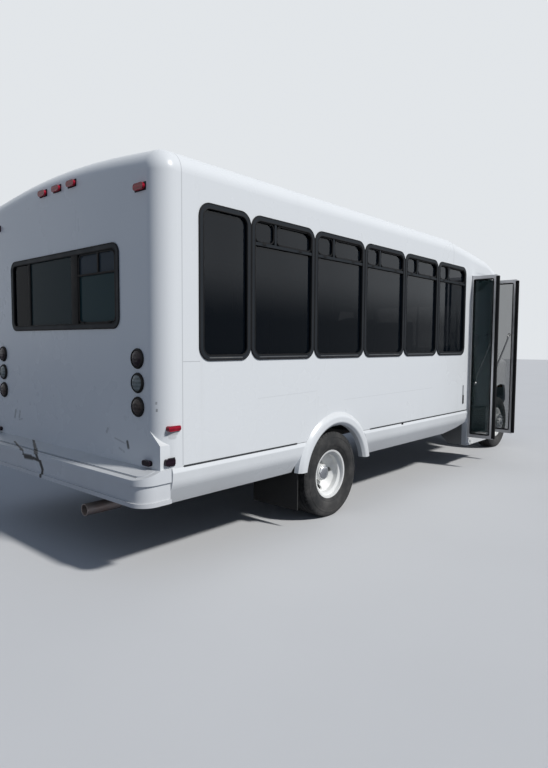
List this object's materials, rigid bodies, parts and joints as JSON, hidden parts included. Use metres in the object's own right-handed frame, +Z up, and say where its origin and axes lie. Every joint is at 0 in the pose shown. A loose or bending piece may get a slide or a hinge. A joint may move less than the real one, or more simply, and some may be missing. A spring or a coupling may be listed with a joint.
{
  "type": "cutaway shuttle minibus",
  "caption": "White cutaway shuttle minibus with a wide moulded passenger body, twin rear wheels and a two-leaf entry door standing open on the kerb side.",
  "frame": {"origin": "on the ground, below the middle of the bus's length and width", "axes": "+X points forward, +Y to the driver's (left) side, +Z up"},
  "size_m": [7.255, 3.076, 2.7812],
  "materials": {
    "body_white": "gloss white fibreglass and paint",
    "roof_white": "weathered gloss white",
    "frame_black": "satin black",
    "tinted_glass": "dark tint",
    "clear_glass": "clear, slightly green",
    "floor_grey": "ribbed floor covering",
    "step_metal": "worn",
    "door_metal": "satin",
    "seal_black": "matt",
    "chassis_black": "dusty satin black",
    "spring_steel": "dark, rusted",
    "axle_iron": "dark",
    "tyre_black": "worn",
    "wheel_white": "dusty white enamel",
    "bumper_grey": "satin white",
    "lens_red": "clear red",
    "lens_clear": "clear",
    "lens_amber": "clear amber",
    "cab_white": "gloss",
    "grille_grey": "satin",
    "mirror_black": "grained",
    "engine_iron": "oily",
    "radiator_metal": "dark",
    "tank_black": "dusty",
    "exhaust_steel": "rusty",
    "flap_rubber": "matt",
    "seat_metal": "satin black",
    "seat_cloth": "woven",
    "dash_grey": "grained",
    "rail_steel": "bright"
  },
  "bodies": {
    "bus": {"rear_cap": "body_white", "roof": "roof_white", "front_cap": "body_white", "side_wall_left": "body_white", "side_wall_right": "body_white", "shoulder_panels": "body_white", "window_frames": "frame_black", "body_glass": "tinted_glass", "floor": "floor_grey", "step_well": "step_metal", "entry_frame": "door_metal", "frame_rails": "chassis_black", "leaf_springs": "spring_steel", "rear_axle": "axle_iron", "front_axle": "axle_iron", "skirts": "body_white", "arch_flares": "body_white", "rear_bumper": "bumper_grey", "front_bumper": "bumper_grey", "black_trim": "frame_black", "red_lamps": "lens_red", "clear_lamps": "lens_clear", "amber_lamps": "lens_amber", "cab_shell": "cab_white", "cab_glass": "clear_glass", "front_fenders": "cab_white", "fascia": "grille_grey", "grille": "grille_grey", "mirror_right": "mirror_black", "engine": "engine_iron", "radiator": "radiator_metal", "driveshaft": "axle_iron", "fuel_tank": "tank_black", "exhaust": "exhaust_steel", "mud_flaps": "flap_rubber", "seat_frames": "seat_metal", "seat_pads": "seat_cloth", "dashboard": "dash_grey", "steering_wheel": "dash_grey", "grab_rails": "rail_steel"},
    "wheel_rear_left": {"tyres_rear_left": "tyre_black", "rims_rear_left": "wheel_white"},
    "wheel_rear_right": {"tyres_rear_right": "tyre_black", "rims_rear_right": "wheel_white"},
    "steering_left": {"knuckle_left": "axle_iron"},
    "steering_right": {"knuckle_right": "axle_iron"},
    "wheel_front_left": {"tyre_front_left": "tyre_black", "rim_front_left": "wheel_white"},
    "wheel_front_right": {"tyre_front_right": "tyre_black", "rim_front_right": "wheel_white"},
    "driver_door_body": {"driver_door": "cab_white", "driver_door_glass": "clear_glass", "mirror_left": "mirror_black"},
    "entry_rear_body": {"entry_leaf_rear": "door_metal", "entry_edge_rear": "seal_black", "entry_glass_rear": "clear_glass"},
    "entry_front_body": {"entry_leaf_front": "door_metal", "entry_edge_front": "seal_black", "entry_glass_front": "clear_glass"},
    "hood_body": {"hood": "cab_white"}
  },
  "joints": [
    {"name": "rear_left_spin", "type": "hinge", "parent": "bus", "child": "wheel_rear_left", "pos_m": [-1.6125, 0.945, 0.372], "axis": [0, 1, 0], "continuous": true},
    {"name": "rear_right_spin", "type": "hinge", "parent": "bus", "child": "wheel_rear_right", "pos_m": [-1.6125, -0.945, 0.372], "axis": [0, 1, 0], "continuous": true},
    {"name": "steer_left", "type": "hinge", "parent": "bus", "child": "steering_left", "pos_m": [2.8575, 0.73, 0.372], "axis": [0, 0, 1], "range_deg": [-32, 32]},
    {"name": "steer_right", "type": "hinge", "parent": "bus", "child": "steering_right", "pos_m": [2.8575, -0.73, 0.372], "axis": [0, 0, 1], "range_deg": [-32, 32]},
    {"name": "front_left_spin", "type": "hinge", "parent": "steering_left", "child": "wheel_front_left", "pos_m": [2.8575, 0.862, 0.372], "axis": [0, 1, 0], "continuous": true},
    {"name": "front_right_spin", "type": "hinge", "parent": "steering_right", "child": "wheel_front_right", "pos_m": [2.8575, -0.862, 0.372], "axis": [0, 1, 0], "continuous": true},
    {"name": "driver_door_hinge", "type": "hinge", "parent": "bus", "child": "driver_door_body", "pos_m": [2.3945, 1.009, 1.02], "axis": [0, 0, -1], "range_deg": [0, 65]},
    {"name": "entry_rear_hinge", "type": "hinge", "parent": "bus", "child": "entry_rear_body", "pos_m": [1.194, -1.21, 1.355], "axis": [0, 0, 1], "range_deg": [0, 90]},
    {"name": "entry_front_hinge", "type": "hinge", "parent": "bus", "child": "entry_front_body", "pos_m": [1.873, -1.21, 1.355], "axis": [0, 0, 1], "range_deg": [-90, 0]},
    {"name": "hood_hinge", "type": "hinge", "parent": "bus", "child": "hood_body", "pos_m": [2.7925, 0, 1.379], "axis": [0, -1, 0], "range_deg": [0, 50]}
  ],
  "couplings": [
    {"joint": "steer_right", "follows": "steer_left", "ratio": 1},
    {"joint": "entry_front_hinge", "follows": "entry_rear_hinge", "ratio": -1}
  ]
}
